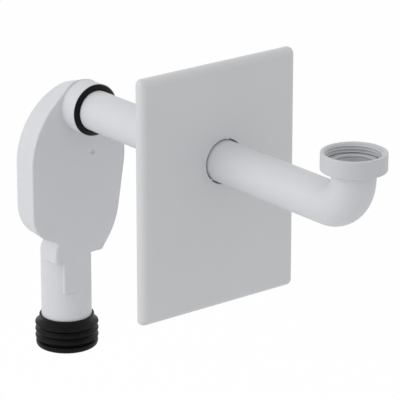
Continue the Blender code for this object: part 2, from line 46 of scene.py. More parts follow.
# Connecting pipe
PIPE_X = 4.5
PIPE_Z = 206.0
PIPE_R = 16.0
PIPE_BORE_R = 14.2
PIPE_END_Y = -19.0
PIPE_TAPER = 0.9              # of its end, which is pushed through the seal
BEND_R = 25.5
WASTE_Y = -340.35             # the nut's axis
FLANGE_Z = 239.7
FLANGE_R = 18.6
FLANGE_T = 1.6
PIPE_MOUTH_EDGE = 0.15

# Union nut and washer
NUT_Z = 237.4
NUT_TOP_Z = 250.5
NUT_R = 23.85
NUT_EDGE_R = 0.8
NUT_SHELF_Z = 239.4
NUT_MOUTH_BEVEL = 0.9         # from the thread up to the nut's flat top
THREAD_ROOT_R = 20.75
THREAD_CREST_R = 19.65
THREAD_PITCH = 2.309          # eleven threads to the inch
THREAD_FROM_TOP = 1.2         # the thread ends this far below the nut's top
THREAD_FROM_SHELF = 1.5       # and this far above its shelf
WASHER_Z = 241.6
WASHER_TOP_Z = 243.2
WASHER_R = 18.4
WASHER_BORE_R = 14.5
WASHER_EDGE_R = (0.2, 0.35)   # of its lower and upper edges

# Cover plate
PLATE_Y = -197.2
PLATE_DEPTH = 8.0
PLATE_MIDDLE = (0.6, 186.6)
PLATE_HALF = (72.0, 94.25)
PLATE_CORNER_R = 3.9
PLATE_FACE_CORNER_R = 2.4     # where the edge's rounding meets the flat face
PLATE_EDGE_R = 5.5
PLATE_WALL = 2.2
PLATE_HOLE_R = 17.3
COLLAR_R = 19.1
COLLAR_DEPTH = 5.2
COLLAR_LIP_R = 16.3           # it runs on the pipe
COLLAR_LIP_T = 1.5
COLLAR_LIP_SLOPE = 1.3
RIB_T = 1.6
RIB_DEPTH = 4.0

# Drum; a pair is its value at the drum's face and at its back
DRUM_Y = -20.5
DRUM_DEPTH = 22.0
DRUM_BACK_Y = DRUM_Y + DRUM_DEPTH
DRUM_WALL = 2.2
DRUM_EDGE_R = 1.2
DRUM_HALF_WIDTH = (45.0, 44.8)
ARCH_R = (66.9, 59.9)
ARCH_RISE = (22.4, 16.0)      # its top, above the pipe's axis
LOWER_LEFT_R = (23.7, 32.0)
LOWER_LEFT_Z = (122.25, 128.7)
BOSS_R = 21.4
BOSS_FALL = 7.0               # of the boss, from the face to the back
BOSS_SHOULDER = (1, 0.06)     # share of the boss's left shoulder that is there
SHOULDER_SHIFT = 5.2
SHOULDER_RISE = 8.8           # its arc is higher and smaller than the boss by this
LOWER_RIGHT_ARC = (-20.7, 125.9, 60.0)  # its middle, across and up, and its radius
FOOT_LEFT_X = 9.5
FOOT_RIGHT_X = 20.1
FOOT_Z = 84.5
FOOT_R = 2.6
LEDGE = 0.9                   # the back cover sits on it
BACK_COVER_Z = 96.0
CHANNEL_WALL = 1.8
WEIR_Z = 162                  # water spills over the channel's walls here
CHANNEL_ROOT_RISE = 4
DIP_BACK_Y = -8.5

# Socket and its seal
SOCKET_R = 20.8
SOCKET_BORE_R = 18.2
SOCKET_RIM_Y = -34.7
SOCKET_LIP = 2.0              # the rim's thin lip round the seal
SOCKET_STOP = 2               # the shoulder at the bottom of the bore
PASSAGE_R = PIPE_R + 0.9
SEAL_FLANGE_R = 20.3
SEAL_FLANGE_T = 1.6
SEAL_NOSE = 2.0               # its inner edge stands out in front by this
SEAL_LENGTH = 9.5
SEAL_LIP_T = 1.6
SEAL_SLEEVE_R = 17.1          # between the two lips

# Gate mark on the drum's face: radius and depth below the face
GATE_X = 13.4
GATE_Z = 165.6
GATE = ((2.6, -1), (2.3, 0), (2.0, 0.2), (1.7, 1.1), (0.8, 1.4))

# Outlet
SPIGOT_R = 20.3
SPIGOT_WALL = 2.1
SPIGOT_BORE_R = 18.2
SPIGOT_END_Z = 3.8
SPIGOT_CHAMFER = 0.5
SHOULDER_Z = 82.0
SHOULDER_R = 11.5
FRONT_BORE_TOP_Z = 72.8
CHANNEL_HALF = 17.6           # of the way from the drum down into the outlet
CHANNEL_Z = 83
TONGUE_HOLLOW = ((-11.0, 53.6), (7.9, 77.5))

# Neck and tongue in front of the outlet; both end inside the drum. The rounded
# foot of each is a list of heights and insets
ROOT_Z = 104
ROOT_X = 10
NECK_LEFT_X = -24.2
NECK_TOP_LEFT_X = -20.2
NECK_KNEE_Z = 88
NECK_FRONT_R = 2.2
NECK_BACK_R = 3.5
NECK_FOOT = ((79, 0.8), (79.3, 0.25), (80, 0))
TONGUE_LEFT_X = -17.5
TONGUE_DEPTH = 10
TONGUE_SLANT = 6.6            # its left side runs back onto the spigot
TONGUE_FRONT_R = 1.4
TONGUE_FOOT = ((51.5, 0.9), (51.8, 0.35), (52.4, 0.1), (53.2, 0))

# Rubber connector: each rib's height, and the height, radius and rounding of
# the groove above it
RUBBER_TOP_Z = 26.7
RUBBER_COLLAR_R = 22.1
RUBBER_BAND_R = 25.1
RUBBER_BAND_Z = 4.6
RUBBER_BAND_GROOVE = (22.6, 6.0, 0.35)
RUBBER_FOOT_R = 2.8
RUBBER_STOP_T = 3.5           # under the spigot's end
RUBBER_RIB_R = 25.6
RUBBER_RIB_HALF = 0.35
RUBBER_RIBS = ((8.4, 11.1, 23.3, 0.45), (14.0, 16.8, 23.3, 0.45), (19.7, 22.6, 22.15, 0.6))

# Smoothness
ROUND_STEPS = 128
ARC_STEPS = 22
EDGE_STEPS = 7
BEND_STEPS = 36
LEVEL_STEPS = 24
SIDE_STEPS = 10
RING_SPACING = 2              # between the outlines of the drum's hollow
THREAD_ROWS = 12              # to each turn of the thread

X = Vector((1, 0, 0))
Y = Vector((0, 1, 0))
Z = Vector((0, 0, 1))

# A point on the axis of what is turned
PIPE_AXIS = Vector((PIPE_X, 0, PIPE_Z))
WASTE_AXIS = Vector((PIPE_X, WASTE_Y, 0))
OUTLET_AXIS = Vector()


# Materials


def linear(code):
    """An sRGB hex colour as linear red, green, blue and alpha."""
    parts = [int(code[i:i + 2], 16) / 255 for i in (1, 3, 5)]
    return [c / 12.92 if c <= 0.04045 else ((c + 0.055) / 1.055) ** 2.4 for c in parts] + [1]


def add(tree, kind, settings=None, inputs=None):
    """Add a shader node; an input is a plain value or another node's socket."""
    item = tree.nodes.new("ShaderNode" + kind)
    for name, value in (settings or {}).items():
        setattr(item, name, value)
    for name, value in (inputs or {}).items():
        if isinstance(value, bpy.types.NodeSocket):
            tree.links.new(value, item.inputs[name])
        else:
            item.inputs[name].default_value = value
    return item


def moulded(name, look):
    """A moulded plastic or rubber, from the numbers of its look.

    cloud is the slow drift of colour through the melt, polish the patches where
    the mould is smoother, grain the eroded texture of the mould, and swell the
    slight unevenness of the cooled wall.
    """
    material = bpy.data.materials.new(name)
    material.use_nodes = True
    tree = material.node_tree
    shader = tree.nodes["Principled BSDF"]
    shader.inputs["IOR"].default_value = look["ior"]
    shader.inputs["Specular IOR Level"].default_value = look.get("gloss", 0.5)
    shader.inputs["Subsurface Weight"].default_value = look.get("depth", 0)
    shader.inputs["Subsurface Radius"].default_value = (1.0, 0.95, 0.9)
    shader.inputs["Subsurface Scale"].default_value = 1.5 * MM

    place = add(tree, "TexCoord")
    in_mm = add(tree, "Mapping", inputs={"Vector": place.outputs["Object"], "Scale": [1 / MM] * 3})
    spot = in_mm.outputs["Vector"]

    cloud = add(tree, "TexNoise", inputs={
        "Vector": spot, "Scale": 1 / look["cloud_mm"], "Detail": 3})
    tint = add(tree, "Mix", {"data_type": "RGBA"}, {"Factor": cloud.outputs["Fac"]})
    tint.inputs["A"].default_value = linear(look["dark"])
    tint.inputs["B"].default_value = linear(look["light"])
    tree.links.new(tint.outputs["Result"], shader.inputs["Base Color"])

    polish = add(tree, "TexNoise", inputs={
        "Vector": spot, "Scale": 1 / look["polish_mm"], "Detail": 4})
    sheen = add(tree, "MapRange", inputs={
        "Value": polish.outputs["Fac"], "From Min": 0.3, "From Max": 0.7,
        "To Min": look["roughness"][0], "To Max": look["roughness"][1]})
    tree.links.new(sheen.outputs["Result"], shader.inputs["Roughness"])

    grain = add(tree, "TexNoise", inputs={
        "Vector": spot, "Scale": 1 / look["grain_mm"], "Detail": 2})
    swell = add(tree, "TexNoise", inputs={
        "Vector": spot, "Scale": 1 / look["swell_mm"], "Detail": 1})
    soft = add(tree, "Bump", inputs={
        "Height": swell.outputs["Fac"], "Strength": look["swell"], "Distance": 0.3 * MM})
    fine = add(tree, "Bump", inputs={
        "Height": grain.outputs["Fac"], "Strength": look["grain"], "Distance": 0.05 * MM,
        "Normal": soft.outputs["Normal"]})
    tree.links.new(fine.outputs["Normal"], shader.inputs["Normal"])
    return material


# Polypropylene from a fine-eroded mould: an even satin white that lets a little light in.
# The mould's grain is about 0.2 mm, drawn at 0.7 mm so that it shows.
satin_white = {
    "ior": 1.49, "depth": 0.12, "dark": "#D8DADE", "light": "#DEDFE2", "cloud_mm": 45,
    "roughness": (0.40, 0.48), "polish_mm": 9, "grain_mm": 0.7, "grain": 0.25,
    "swell_mm": 22, "swell": 0.12}
white_polypropylene = moulded("white_moulded_polypropylene", satin_white)

# The nut gets a copy of the same plastic a shade greyer: painted shade, standing in for the lesser light
# that falls on the nut.
nut_polypropylene_painted_shade = moulded(
    "painted_shade_moulded_polypropylene", dict(satin_white, dark="#CECFD3", light="#D4D5D8"))

# ABS from a blasted mould: a harder, closer white than the trap's, with a flat satin face.
# The mould's grain is about 0.1 mm, drawn at 0.6 mm so that it shows.
white_abs = moulded("white_moulded_abs", {
    "ior": 1.54, "depth": 0.05, "dark": "#D5D7DA", "light": "#D9DBDD", "cloud_mm": 70,
    "roughness": (0.36, 0.42), "polish_mm": 14, "grain_mm": 0.6, "grain": 0.16,
    "swell_mm": 35, "swell": 0.10})

# EPDM rubber, compression moulded: deep black with a soft sheen and a trace of grey bloom.
# Its grain is about 0.3 mm, drawn at 0.6 mm so that it shows.
black_rubber = moulded("black_moulded_epdm_rubber", {
    "ior": 1.52, "gloss": 0.13, "dark": "#060607", "light": "#0C0C0E", "cloud_mm": 8,
    "roughness": (0.34, 0.48), "polish_mm": 5, "grain_mm": 0.6, "grain": 0.5,
    "swell_mm": 6, "swell": 0.2})

# Low density polyethylene, punched from sheet: waxy and a shade darker than the trap.
# The sheet's grain is about 0.3 mm, drawn at 0.8 mm so that it shows.
pale_polyethylene = moulded("pale_punched_polyethylene", {
    "ior": 1.51, "depth": 0.2, "dark": "#C9CBCC", "light": "#D0D2D3", "cloud_mm": 12,
    "roughness": (0.46, 0.56), "polish_mm": 4, "grain_mm": 0.8, "grain": 0.3,
    "swell_mm": 9, "swell": 0.2})


# Shapes


def circle(centre, side, up, radius):
    """Points round a circle in the plane of two unit vectors."""
    turns = [2 * math.pi * i / ROUND_STEPS for i in range(ROUND_STEPS)]
    return [centre + radius * (math.cos(a) * side + math.sin(a) * up) for a in turns]


def quarter(radius):
    """Inset and depth of the points round a quarter circle, from face to side."""
    angles = [math.pi / 2 * i / EDGE_STEPS for i in range(EDGE_STEPS + 1)]
    return [(radius * (1 - math.sin(a)), radius * (1 - math.cos(a))) for a in angles]


def rounded(corners, steps=EDGE_STEPS):
    """A closed outline whose corners, given as place and rounding, are rounded off."""
    points = []
    for i, (a, b, rounding) in enumerate(corners):
        if not rounding:
            points.append((a, b))
            continue
        corner = Vector((a, b))
        back = (Vector(corners[i - 1][:2]) - corner).normalized()
        ahead = (Vector(corners[(i + 1) % len(corners)][:2]) - corner).normalized()
        half = back.angle(ahead) / 2
        middle = corner + (back + ahead).normalized() * rounding / math.sin(half)
        start = corner + back * rounding / math.tan(half) - middle
        end = corner + ahead * rounding / math.tan(half) - middle
        first = math.atan2(start.y, start.x)
        turn = math.remainder(math.atan2(end.y, end.x) - first, 2 * math.pi)
        for step in range(steps + 1):
            angle = first + turn * step / steps
            points.append((
                middle.x + rounding * math.cos(angle), middle.y + rounding * math.sin(angle)))
    return points


def skin(name, rings, closed=False):
    """A solid through rings of points; its ends are capped, or meet if closed."""
    shape = bmesh.new()
    loops = [[shape.verts.new(point * MM) for point in ring] for ring in rings]
    pairs = list(zip(loops, loops[1:]))
    if closed:
        pairs.append((loops[-1], loops[0]))
    else:
        shape.faces.new(loops[0])
        shape.faces.new(loops[-1])
    for first, second in pairs:
        count = len(first)
        for i in range(count):
            after = (i + 1) % count
            shape.faces.new((first[i], first[after], second[after], second[i]))
    bmesh.ops.remove_doubles(shape, verts=shape.verts, dist=1e-7)
    bmesh.ops.recalc_face_normals(shape, faces=shape.faces)
    mesh = bpy.data.meshes.new(name)
    shape.to_mesh(mesh)
    shape.free()
    item = bpy.data.objects.new(name, mesh)
    bpy.context.scene.collection.objects.link(item)
    return item


def turned(name, outline, centre, axis, closed=True):
    """A solid turned about Y or Z; the outline is radius and height along the axis."""
    up = axis.cross(X)
    rings = [circle(centre + height * axis, X, up, radius) for radius, height in outline]
    return skin(name, rings, closed)


def block(name, low, high):
    """A block between two corners."""
    corners = [(low[0], low[2]), (high[0], low[2]), (high[0], high[2]), (low[0], high[2])]
    return skin(name, [[Vector((x, y, z)) for x, z in corners] for y in (low[1], high[1])])


def settle(item):
    """Apply an object's modifiers."""
    seen = item.evaluated_get(bpy.context.evaluated_depsgraph_get())
    mesh = bpy.data.meshes.new_from_object(seen)
    item.modifiers.clear()
    item.data = mesh


def combine(item, operation, *tools):
    """Join tool shapes to an object or cut them away, and drop the tools."""
    for tool in tools:
        change = item.modifiers.new(operation, "BOOLEAN")
        change.operation = operation
        change.solver = "EXACT"
        change.object = tool
        settle(item)
        bpy.data.objects.remove(tool, do_unlink=True)


def trim(item, place, side):
    """Cut an object off at a place along an axis, keep the side given, and close it."""
    shape = bmesh.new()
    shape.from_mesh(item.data)
    cut = bmesh.ops.bisect_plane(
        shape, geom=shape.verts[:] + shape.edges[:] + shape.faces[:],
        plane_co=place * MM, plane_no=side, clear_inner=True, dist=1e-7)
    edges = [part for part in cut["geom_cut"] if isinstance(part, bmesh.types.BMEdge)]
    bmesh.ops.contextual_create(shape, geom=edges)
    bmesh.ops.recalc_face_normals(shape, faces=shape.faces)
    shape.to_mesh(item.data)
    shape.free()


def dress(item, material, body, node, crease=32):
    """Finish a piece: clean mesh, smooth shading, material, its body and what it replaces."""
    shape = bmesh.new()
    shape.from_mesh(item.data)
    bmesh.ops.remove_doubles(shape, verts=shape.verts, dist=2e-6)
    bmesh.ops.dissolve_degenerate(shape, edges=shape.edges, dist=1e-6)
    shape.to_mesh(item.data)
    shape.free()
    item.data.materials.clear()
    item.data.materials.append(material)
    item.data.shade_smooth()
    item.data.set_sharp_from_angle(angle=math.radians(crease))
    flat = item.modifiers.new("flat_faces", "WEIGHTED_NORMAL")
    flat.keep_sharp = True
    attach(item, body)
    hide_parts(node)


# Drum of the trap


def tangent_angle(first, second):
    """Direction at which a band going clockwise leaves one circle for the next."""
    across = second[0] - first[0]
    upward = second[1] - first[1]
    share = (first[2] - second[2]) / math.hypot(across, upward)
    return math.atan2(upward, across) + math.acos(max(-1.0, min(1.0, share)))


def drum_outline(y, inset):
    """The drum's outline at a depth: a tight band round eight circles, drawn in.

    Towards the back the arch gets rounder, the boss sits lower and its shoulder fades.
    """
    depth = (y - DRUM_Y) / DRUM_DEPTH

    def at_depth(ends):
        front, back = ends
        return front + (back - front) * depth

    half_width = at_depth(DRUM_HALF_WIDTH)
    arch_r = at_depth(ARCH_R)
    arch_z = PIPE_Z + at_depth(ARCH_RISE) - arch_r
    lower_left_r = at_depth(LOWER_LEFT_R)
    boss_z = PIPE_Z - BOSS_FALL * depth
    left = at_depth(BOSS_SHOULDER)
    rise = SHOULDER_RISE * left
    circles = [
        (lower_left_r - half_width, at_depth(LOWER_LEFT_Z), lower_left_r),
        (arch_r - half_width, arch_z, arch_r),
        (PIPE_X - SHOULDER_SHIFT * left, boss_z + rise, BOSS_R - rise),
        (PIPE_X, boss_z, BOSS_R),
        (half_width - arch_r, arch_z, arch_r),
        LOWER_RIGHT_ARC,
        (FOOT_RIGHT_X, FOOT_Z, FOOT_R),
        (FOOT_LEFT_X, FOOT_Z, FOOT_R),
    ]
    following = circles[1:] + circles[:1]
    exits = [tangent_angle(first, second) for first, second in zip(circles, following)]
    points = []
    for i, (x, z, radius) in enumerate(circles):
        entry = exits[i - 1]
        sweep = (entry - exits[i]) % (2 * math.pi)
        reach = radius - inset
        for step in range(ARC_STEPS):
            angle = entry - sweep * step / (ARC_STEPS - 1)
            points.append(Vector((x + reach * math.cos(angle), y, z + reach * math.sin(angle))))
    return points


def drum_slab(name, front, back, inset):
    """A slab of the drum's outline between two depths, straight in its last part."""
    straight = 0.6            # so that its end meets its side squarely
    bent = back - front - straight
    count = max(1, round(bent / RING_SPACING))
    rings = [drum_outline(front + bent * i / count, inset) for i in range(count + 1)]
    rings.append([point + straight * Y for point in rings[-1]])
    return skin(name, rings)


def shoulder(radius, rounding, height):
    """Outline of a rounded shoulder at the top of a round shape."""
    steps = 2 * EDGE_STEPS
    angles = [math.pi / 2 * i / steps for i in range(steps + 1)]
    return [(radius - rounding * (1 - math.cos(a)), height + rounding * math.sin(a)) for a in angles]


def neck_ring(z, left, inset):
    """The neck's outline at a height, drawn in, with its back corner well rounded."""
    front_y = DRUM_Y + inset
    corners = [
        (left + inset, front_y, NECK_FRONT_R), (ROOT_X, front_y, 0),
        (ROOT_X, DRUM_BACK_Y, 0), (left + inset, DRUM_BACK_Y, NECK_BACK_R)]
    return [Vector((x, y, z)) for x, y in rounded(corners)]


def tongue_ring(z, inset):
    """The tongue's outline at a height, drawn in at its left and front."""
    front_y = DRUM_Y + inset
    rear_y = DRUM_Y + TONGUE_DEPTH
    corners = [
        (TONGUE_LEFT_X + inset, front_y, TONGUE_FRONT_R), (ROOT_X, front_y, 0),
        (ROOT_X, rear_y, 0), (TONGUE_LEFT_X + TONGUE_SLANT, rear_y, 0)]
    return [Vector((x, y, z)) for x, y in rounded(corners)]


def drum_outside(lip_y):
    """The drum's full form with the outlet, neck, tongue and socket grown onto it."""
    side_y = DRUM_Y + DRUM_EDGE_R
    side_depth = DRUM_BACK_Y - SOFT - side_y
    rings = [drum_outline(DRUM_Y + depth, inset) for inset, depth in quarter(DRUM_EDGE_R)[:-1]]
    rings += [drum_outline(side_y + side_depth * i / SIDE_STEPS, 0) for i in range(SIDE_STEPS + 1)]
    rings.append(drum_outline(DRUM_BACK_Y, SOFT))
    drum = skin("trap_drum", rings)

    bead_r = SOCKET_R + SOFT
    socket = turned("socket", [
        (SOCKET_R, lip_y), (SOCKET_R + 0.2, lip_y + 0.1), (bead_r, lip_y + 0.35),
        (bead_r, lip_y + 1.2), (SOCKET_R, lip_y + 2.6), (SOCKET_R, DRUM_Y + 1)],
        PIPE_AXIS, Y, closed=False)
    spigot = turned("spigot", [
        (SPIGOT_R - SPIGOT_CHAMFER, SPIGOT_END_Z), (SPIGOT_R, SPIGOT_END_Z + SPIGOT_CHAMFER)]
        + shoulder(SPIGOT_R, SHOULDER_R, SHOULDER_Z), OUTLET_AXIS, Z, closed=False)
    neck_rings = [neck_ring(z, NECK_LEFT_X, inset) for z, inset in NECK_FOOT]
    neck_rings.append(neck_ring(NECK_KNEE_Z, NECK_LEFT_X, 0))
    neck_rings.append(neck_ring(ROOT_Z, NECK_TOP_LEFT_X, 0))
    neck = skin("neck", neck_rings)
    tongue_rings = [tongue_ring(z, inset) for z, inset in TONGUE_FOOT]
    tongue_rings.append(tongue_ring(ROOT_Z, 0))
    tongue = skin("tongue", tongue_rings)
    combine(drum, "UNION", spigot, neck, tongue, socket)
    return drum


def hollow_drum(drum, lip_y):
    """Cut the drum's inside, its open back, the socket's bore and the way to the outlet."""
    inner_y = DRUM_BACK_Y - DRUM_WALL
    cavity = drum_slab("cavity", DRUM_Y + DRUM_WALL, inner_y, DRUM_WALL)
    opening = drum_slab("opening", inner_y - GAP, DRUM_BACK_Y + GAP, DRUM_WALL - LEDGE)
    trim(opening, BACK_COVER_Z * Z, Z)

    recess_r = SOCKET_R - SOFT
    recess = turned("recess", [
        (SOCKET_R, lip_y - 1), (SOCKET_R - 0.1, lip_y), (SOCKET_R - 0.25, lip_y + 0.2),
        (recess_r, lip_y + 0.5), (recess_r, SOCKET_RIM_Y)], PIPE_AXIS, Y, closed=False)
    stop_y = DRUM_Y - SOCKET_STOP
    mouth_r = SOCKET_BORE_R + 0.6
    bore = turned("bore", [
        (mouth_r, SOCKET_RIM_Y - 1), (mouth_r, SOCKET_RIM_Y),
        (SOCKET_BORE_R, SOCKET_RIM_Y + 0.6), (SOCKET_BORE_R, stop_y)], PIPE_AXIS, Y, closed=False)
    passage = turned("passage", [
        (PASSAGE_R, stop_y - GAP), (PASSAGE_R, DRUM_Y + DRUM_WALL + 1.1)], PIPE_AXIS, Y, closed=False)

    channel = block(
        "channel", (-CHANNEL_HALF, DIP_BACK_Y - GAP, CHANNEL_Z), (CHANNEL_HALF, inner_y - GAP, ROOT_Z))
    rounding = SHOULDER_R - SPIGOT_WALL
    front_bore = turned("front_bore", [
        (SPIGOT_BORE_R, SPIGOT_END_Z - 2)]
        + shoulder(SPIGOT_BORE_R, rounding, FRONT_BORE_TOP_Z), OUTLET_AXIS, Z, closed=False)
    rear_r = SPIGOT_BORE_R - GAP
    rear_bore = turned("rear_bore", [
        (rear_r, FRONT_BORE_TOP_Z)] + shoulder(rear_r, rounding, SHOULDER_Z), OUTLET_AXIS, Z, closed=False)
    trim(rear_bore, DIP_BACK_Y * Y, Y)
    (left, low), (right, high) = TONGUE_HOLLOW
    tongue_hollow = block(
        "tongue_hollow", (left, DRUM_Y + SPIGOT_WALL, low), (right, DIP_BACK_Y, high))
    gate = turned("gate", [
        (radius, DRUM_Y + depth) for radius, depth in GATE], Vector((GATE_X, 0, GATE_Z)), Y, closed=False)
    combine(drum, "DIFFERENCE", cavity, opening, recess, bore, passage, channel, front_bore,
            rear_bore, tongue_hollow, gate)


def make_drum():
    """One moulding: drum, socket, neck, flat tongue and round outlet."""
    lip_y = SOCKET_RIM_Y - SOCKET_LIP
    drum = drum_outside(lip_y)
    hollow_drum(drum, lip_y)
    dress(drum, white_polypropylene, "trap_body", "trap_housing")


def make_back_cover():
    """The cover welded into the drum's open back, and the channel's walls on its inside."""
    inner_y = DRUM_BACK_Y - DRUM_WALL
    inset = DRUM_WALL - LEDGE + GAP
    cover = skin("drum_back_cover", [
        drum_outline(inner_y, inset), drum_outline(DRUM_BACK_Y - SOFT, inset),
        drum_outline(DRUM_BACK_Y, inset + SOFT)])
    edge = BACK_COVER_Z + GAP
    trim(cover, edge * Z, Z)
    root_inset = 0.15
    for near in (-SPIGOT_BORE_R - CHANNEL_WALL, SPIGOT_BORE_R):
        far = near + CHANNEL_WALL
        wall = drum_slab("channel_wall", DIP_BACK_Y + GAP, inner_y - GAP, DRUM_WALL + GAP)
        trim(wall, near * X, X)
        trim(wall, far * X, -X)
        trim(wall, WEIR_Z * Z, -Z)
        root = block(
            "channel_root", (near + root_inset, inner_y - 2 * GAP, edge + CHANNEL_ROOT_RISE),
            (far - root_inset, inner_y + DRUM_WALL / 2, WEIR_Z - GAP))
        combine(cover, "UNION", wall, root)
    dress(cover, white_polypropylene, "trap_body", "trap_back_cover")


# Rubber pieces


def make_connector():
    """Ribbed connector: sealing ribs between a collar and a plain foot band."""
    bore_r = SPIGOT_R + GAP
    outline = [
        (RUBBER_BAND_R, 0, RUBBER_FOOT_R), (RUBBER_BAND_R, RUBBER_BAND_Z, 0.9), RUBBER_BAND_GROOVE]
    for peak, groove_z, groove_r, rounding in RUBBER_RIBS:
        outline += [
            (RUBBER_RIB_R, peak - RUBBER_RIB_HALF, 0.5), (RUBBER_RIB_R, peak + RUBBER_RIB_HALF, 0.5),
            (groove_r, groove_z, rounding)]
    outline += [
        (RUBBER_COLLAR_R, RUBBER_TOP_Z, 0.35), (bore_r, RUBBER_TOP_Z, 0.2), (bore_r, RUBBER_STOP_T, 0),
        (SPIGOT_BORE_R, RUBBER_STOP_T, SOFT), (SPIGOT_BORE_R, 0, 0.5)]
    connector = turned("outlet_rubber", rounded(outline), OUTLET_AXIS, Z)
    dress(connector, black_rubber, "trap_body", "outlet_connector")


def make_lip_seal():
    """Seal in the socket: a flange on its rim and a sleeve with two lips."""
    outer = SOCKET_BORE_R - GAP
    lip = PIPE_R + GAP
    rim = SOCKET_RIM_Y - GAP
    edge = rim - SEAL_FLANGE_T
    nose = edge - SEAL_NOSE
    inner_end = rim + SEAL_LENGTH
    inner_lip = inner_end - SEAL_LIP_T
    seal = turned("socket_seal", rounded([
        (SEAL_FLANGE_R, edge, 0.5), (SEAL_FLANGE_R, rim, 0.2), (outer, rim, 0),
        (outer, inner_end, SOFT), (lip, inner_end, SOFT), (lip, inner_lip, 0.2),
        (SEAL_SLEEVE_R, inner_lip - SEAL_LIP_T, 0), (SEAL_SLEEVE_R, rim + SEAL_LIP_T, 0),
        (lip, rim, 0), (lip, nose, 0.35), (lip + 0.7, nose, 0.35),
        ((lip + SEAL_FLANGE_R) / 2, nose + SEAL_NOSE / 3, 1.5)], steps=5), PIPE_AXIS, Y)
    dress(seal, black_rubber, "lip_seal", "inlet_lip_seal")


# Pipe, washer and nut


def level_ring(y, radius):
    """A ring of the level pipe."""
    return circle(Vector((PIPE_X, y, PIPE_Z)), X, Z, radius)


def upright_ring(z, radius):
    """A ring of the upright leg."""
    return circle(Vector((PIPE_X, WASTE_Y, z)), X, Y, radius)


def bend_ring(step, radius):
    """A ring of the bend, from the level pipe round to the upright leg."""
    angle = math.pi / 2 * step / BEND_STEPS
    centre = Vector((
        PIPE_X, WASTE_Y + BEND_R * (1 - math.sin(angle)), PIPE_Z + BEND_R * (1 - math.cos(angle))))
    return circle(centre, X, math.sin(angle) * Y + math.cos(angle) * Z, radius)


def make_pipe():
    """Level pipe, bend, upright leg and flange, hollow all the way."""
    top = FLANGE_Z + FLANGE_T
    start_y = PIPE_END_Y - 1
    length = start_y - WASTE_Y - BEND_R
    level_y = [start_y - length * i / LEVEL_STEPS for i in range(LEVEL_STEPS)]
    rings = [
        level_ring(PIPE_END_Y, PIPE_R - PIPE_TAPER), level_ring(PIPE_END_Y - 0.3, PIPE_R - 0.35)]
    rings += [level_ring(y, PIPE_R) for y in level_y]
    rings += [bend_ring(step, PIPE_R) for step in range(BEND_STEPS + 1)]
    rings += [
        upright_ring(FLANGE_Z - 1.2, PIPE_R), upright_ring(FLANGE_Z - 0.5, PIPE_R + 0.1),
        upright_ring(FLANGE_Z, PIPE_R + 0.2),
        upright_ring(FLANGE_Z, FLANGE_R - SOFT), upright_ring(FLANGE_Z + SOFT, FLANGE_R),
        upright_ring(top - SOFT, FLANGE_R), upright_ring(top, FLANGE_R - SOFT),
        upright_ring(top, PIPE_BORE_R + PIPE_MOUTH_EDGE),
        upright_ring(top - PIPE_MOUTH_EDGE, PIPE_BORE_R)]
    rings += [bend_ring(step, PIPE_BORE_R) for step in range(BEND_STEPS, -1, -1)]
    rings += [level_ring(y, PIPE_BORE_R) for y in reversed(level_y)]
    rings.append(level_ring(PIPE_END_Y, PIPE_BORE_R))
    pipe = skin("bent_pipe", rings, closed=True)
    dress(pipe, white_polypropylene, "pipe", "connecting_bend")


def make_washer():
    """Flat ring under the basin's waste."""
    low_r, high_r = WASHER_EDGE_R
    washer = turned("seat_washer", rounded([
        (WASHER_R, WASHER_Z, low_r), (WASHER_R, WASHER_TOP_Z, high_r),
        (WASHER_BORE_R, WASHER_TOP_Z, high_r), (WASHER_BORE_R, WASHER_Z, low_r)], steps=4),
        WASTE_AXIS, Z)
    dress(washer, pale_polyethylene, "pipe", "sealing_washer")


def thread_radius(height, turn):
    """Radius of the internal thread at a height and a share of a turn.

    A smooth flank joins each flat root to its flat crest, and the crest fades out
    over half a turn at each end.
    """
    wave = (height / THREAD_PITCH - turn) % 1
    crest = 1 - abs(2 * wave - 1)
    flank = min(1, max(0, 1.5 * crest - 0.25))
    flank = flank * flank * (3 - 2 * flank)
    from_top = (NUT_TOP_Z - THREAD_FROM_TOP - height) / THREAD_PITCH
    from_shelf = (height - NUT_SHELF_Z - THREAD_FROM_SHELF) / THREAD_PITCH
    cut = min(1, max(0, 2 * from_top)) * min(1, max(0, 2 * from_shelf))
    return THREAD_ROOT_R - (THREAD_ROOT_R - THREAD_CREST_R) * flank * cut


def make_nut():
    """Smooth round nut with a pipe thread cut inside it."""
    hole = PIPE_R + GAP
    outside = rounded([
        (hole, NUT_SHELF_Z, SOFT), (hole, NUT_Z, 0.5), (NUT_R, NUT_Z, NUT_EDGE_R),
        (NUT_R, NUT_TOP_Z, NUT_EDGE_R), (THREAD_ROOT_R + NUT_MOUTH_BEVEL, NUT_TOP_Z, 0)])
    rings = [circle(WASTE_AXIS + height * Z, X, Y, radius) for radius, height in outside]
    low = NUT_SHELF_Z
    high = NUT_TOP_Z - NUT_MOUTH_BEVEL
    rows = round((high - low) / THREAD_PITCH * THREAD_ROWS)
    for row in range(rows, -1, -1):
        height = low + (high - low) * row / rows
        ring = []
        for i in range(ROUND_STEPS):
            angle = 2 * math.pi * i / ROUND_STEPS
            reach = thread_radius(height, i / ROUND_STEPS)
            ring.append(WASTE_AXIS + Vector((reach * math.cos(angle), reach * math.sin(angle), height)))
        rings.append(ring)
    nut = skin("waste_nut", rings, closed=True)
    # The nut's greyer plastic is painted shade, a darker copy of the trap's polypropylene.
    dress(nut, nut_polypropylene_painted_shade, "nut", "union_nut", crease=50)


# Cover plate


